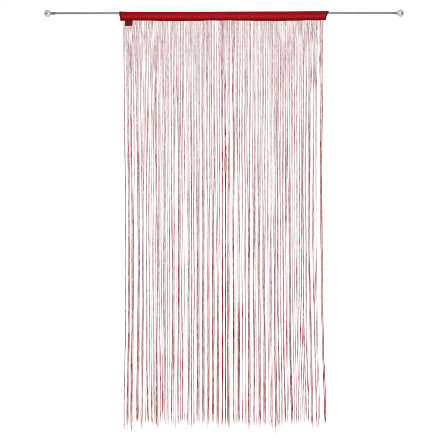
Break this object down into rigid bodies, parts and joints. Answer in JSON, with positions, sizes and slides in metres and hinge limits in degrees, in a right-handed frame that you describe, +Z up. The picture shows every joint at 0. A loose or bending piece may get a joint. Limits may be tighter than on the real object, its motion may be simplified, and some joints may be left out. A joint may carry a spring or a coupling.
{
  "type": "string curtain on rod",
  "caption": "String curtain on a thin steel rod with ball finials: a sewn rod-pocket header with a long fringe of loose strings, for a doorway or as a room divider.",
  "frame": {"origin": "middle of the rod's axis", "axes": "+X along the rod, -Y the curtain's front, +Z up; the strings hang down along -Z"},
  "size_m": [1.728, 0.034, 2.0352],
  "materials": {
    "rod": "satin",
    "finial": "polished",
    "header_cloth": "matt woven",
    "strings": "knitted cord",
    "label": "woven tape"
  },
  "bodies": {
    "root": {"rod": "rod", "finial_left": "finial", "finial_right": "finial", "header": "header_cloth", "strings": "strings", "label": "label"}
  },
  "joints": []
}
